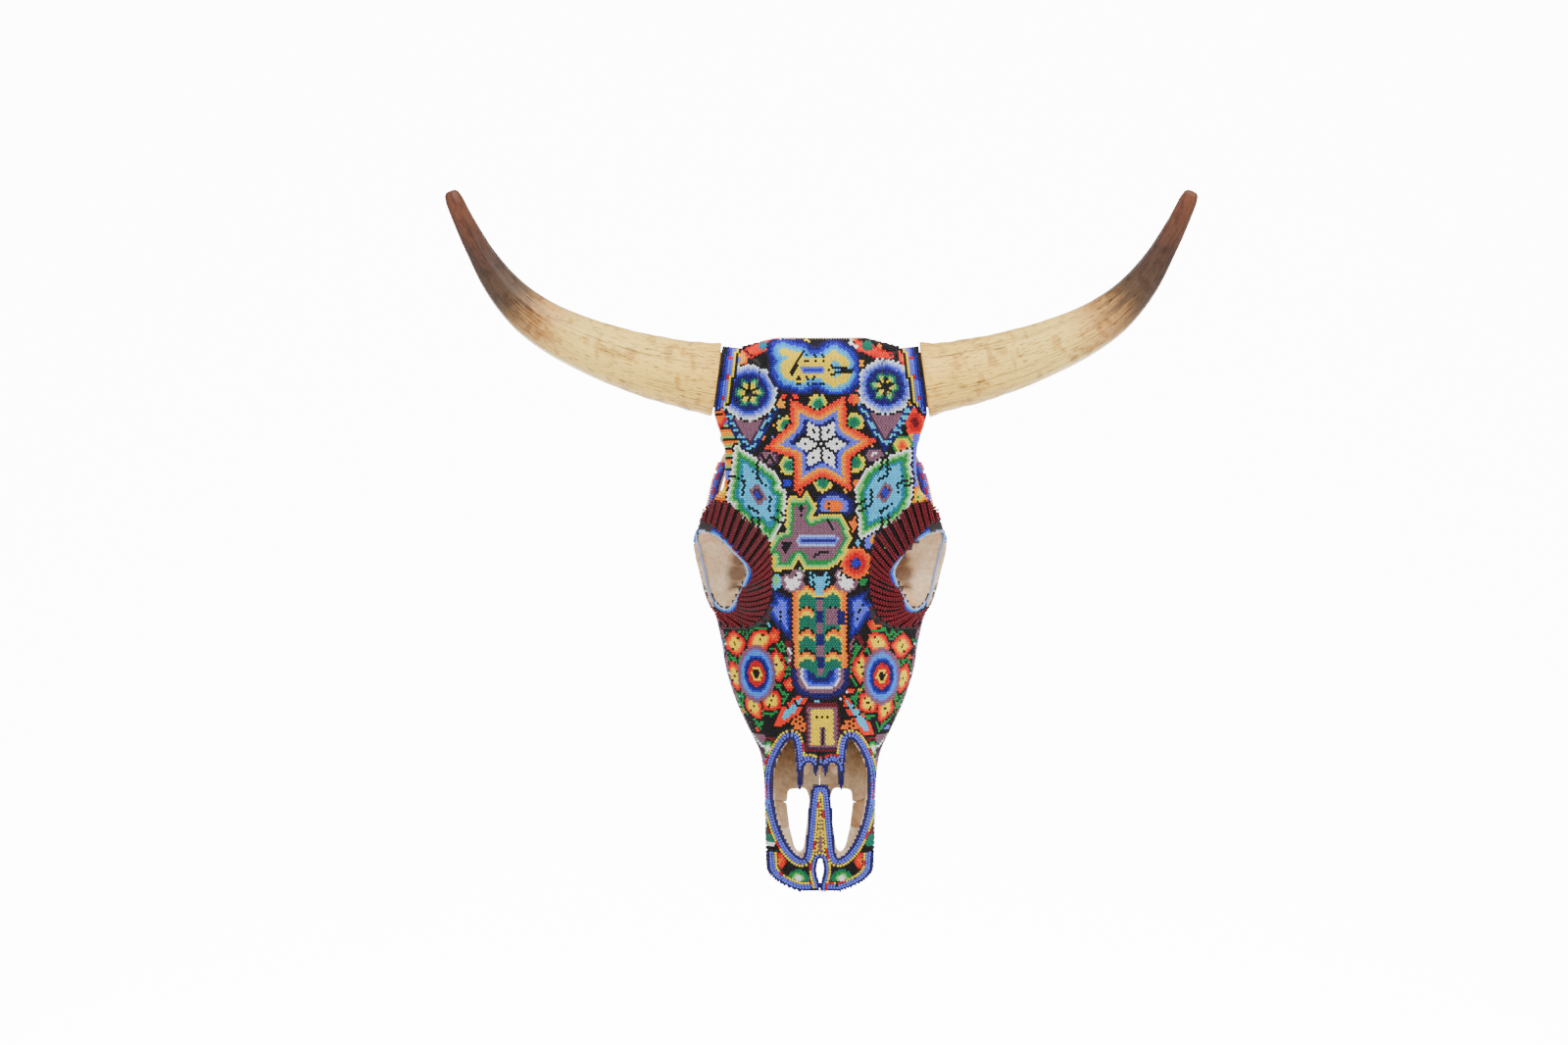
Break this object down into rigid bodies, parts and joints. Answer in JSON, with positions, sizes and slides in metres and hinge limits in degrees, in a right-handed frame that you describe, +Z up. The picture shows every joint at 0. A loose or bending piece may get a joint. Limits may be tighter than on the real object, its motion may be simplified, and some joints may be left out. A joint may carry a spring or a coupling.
{
  "type": "beaded cattle skull wall ornament",
  "caption": "Horned cattle skull without lower jaw, its face covered in seed beads, hung muzzle down from the hole at its nape.",
  "frame": {"origin": "centre of the foramen magnum, the hole at the nape that the wall hook goes into", "axes": "+X across the face to the viewer's right, +Y from the face towards the wall, +Z up the wall, muzzle down"},
  "size_m": [0.6244, 0.1746, 0.596],
  "materials": {
    "bone": "dry, matte, slightly porous natural bone",
    "core_bone": "matte, porous bone with fine grooves along it",
    "enamel": "satin enamel with brown cement between the ridges",
    "horn": "satin keratin, cream at the root and red-brown at the tip, with fine lengthwise streaks",
    "beads_forehead": "glossy opaque seed beads in wax, many colours: star, rosettes and animals on a dark ground",
    "beads_nasal": "glossy opaque seed beads in wax: yellow, orange and green chevrons",
    "beads_arch": "glossy opaque seed beads in wax: orange, yellow and blue",
    "beads_cheek": "glossy opaque seed beads in wax: red and blue rosettes on mauve",
    "beads_muzzle": "glossy opaque seed beads in wax: lavender, yellow and red bands",
    "beads_eye": "glossy maroon seed beads over raised cords, with a blue edge round the eye socket",
    "beads_horn": "glossy opaque seed beads in wax: navy, cobalt, lavender and yellow bands"
  },
  "bodies": {
    "skull": {"frontal_left": "bone", "frontal_right": "bone", "horn_core_left": "core_bone", "horn_core_right": "core_bone", "nasal_left": "bone", "nasal_right": "bone", "lacrimal_left": "bone", "lacrimal_right": "bone", "zygomatic_left": "bone", "zygomatic_right": "bone", "maxilla_left": "bone", "maxilla_right": "bone", "premaxilla_left": "bone", "premaxilla_right": "bone", "temporal_left": "bone", "temporal_right": "bone", "palatine": "bone", "sphenoid": "bone", "parietal": "bone", "occipital": "bone", "vomer": "bone", "nasal_concha_left": "bone", "nasal_concha_right": "bone", "premolar_2_left": "enamel", "premolar_3_left": "enamel", "premolar_4_left": "enamel", "molar_1_left": "enamel", "molar_2_left": "enamel", "molar_3_left": "enamel", "premolar_2_right": "enamel", "premolar_3_right": "enamel", "premolar_4_right": "enamel", "molar_1_right": "enamel", "molar_2_right": "enamel", "molar_3_right": "enamel", "beads_forehead": "beads_forehead", "beads_nasal": "beads_nasal", "beads_arch_left": "beads_arch", "beads_arch_right": "beads_arch", "beads_cheek_left": "beads_cheek", "beads_cheek_right": "beads_cheek", "beads_muzzle_left": "beads_muzzle", "beads_muzzle_right": "beads_muzzle", "beads_eye_left": "beads_eye", "beads_eye_right": "beads_eye", "beads_horn_left": "beads_horn", "beads_horn_right": "beads_horn"},
    "horn_left": {"horn_sheath_left": "horn"},
    "horn_right": {"horn_sheath_right": "horn"}
  },
  "joints": [
    {"name": "horn_left_pull", "type": "hinge", "parent": "skull", "child": "horn_left", "pos_m": [-0.02816, -0.21058, 0.41697], "axis": [0, 0.9511, 0.309], "range_deg": [0, 22]},
    {"name": "horn_right_pull", "type": "hinge", "parent": "skull", "child": "horn_right", "pos_m": [0.02816, -0.21058, 0.41697], "axis": [0, -0.9511, -0.309], "range_deg": [0, 22]}
  ]
}
